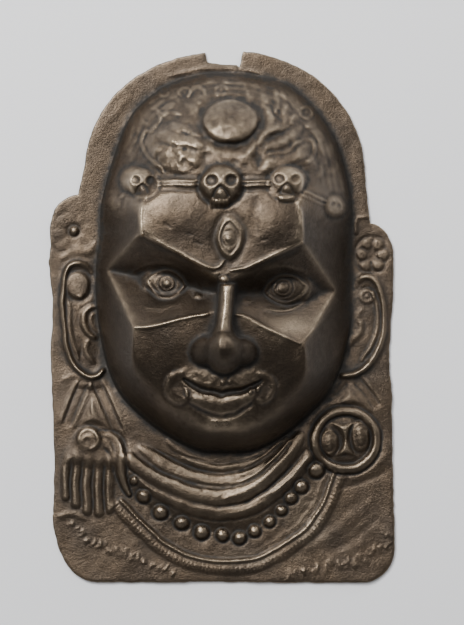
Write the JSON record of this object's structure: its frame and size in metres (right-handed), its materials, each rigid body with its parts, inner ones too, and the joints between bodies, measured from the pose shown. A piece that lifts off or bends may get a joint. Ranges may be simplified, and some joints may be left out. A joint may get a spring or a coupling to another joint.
{
  "type": "processional mask",
  "caption": "Relief mask of a three-eyed, fanged face with a crown of skulls and a beaded collar, raised on a flat-backed metal sheet and hollow behind.",
  "frame": {"origin": "under the middle of the mask as it lies on its back: the centre of its outline, on the floor that the flat rim rests on", "axes": "+Z out of the face, +Y towards the crown of the head, +X to the right of someone looking at the face"},
  "size_m": [0.1956, 0.3, 0.077],
  "materials": {
    "bronze": "dark brown patina, rubbed bright on the raised parts, matt and dirty in the hollows"
  },
  "bodies": {
    "root": {"mask": "bronze"}
  },
  "joints": []
}
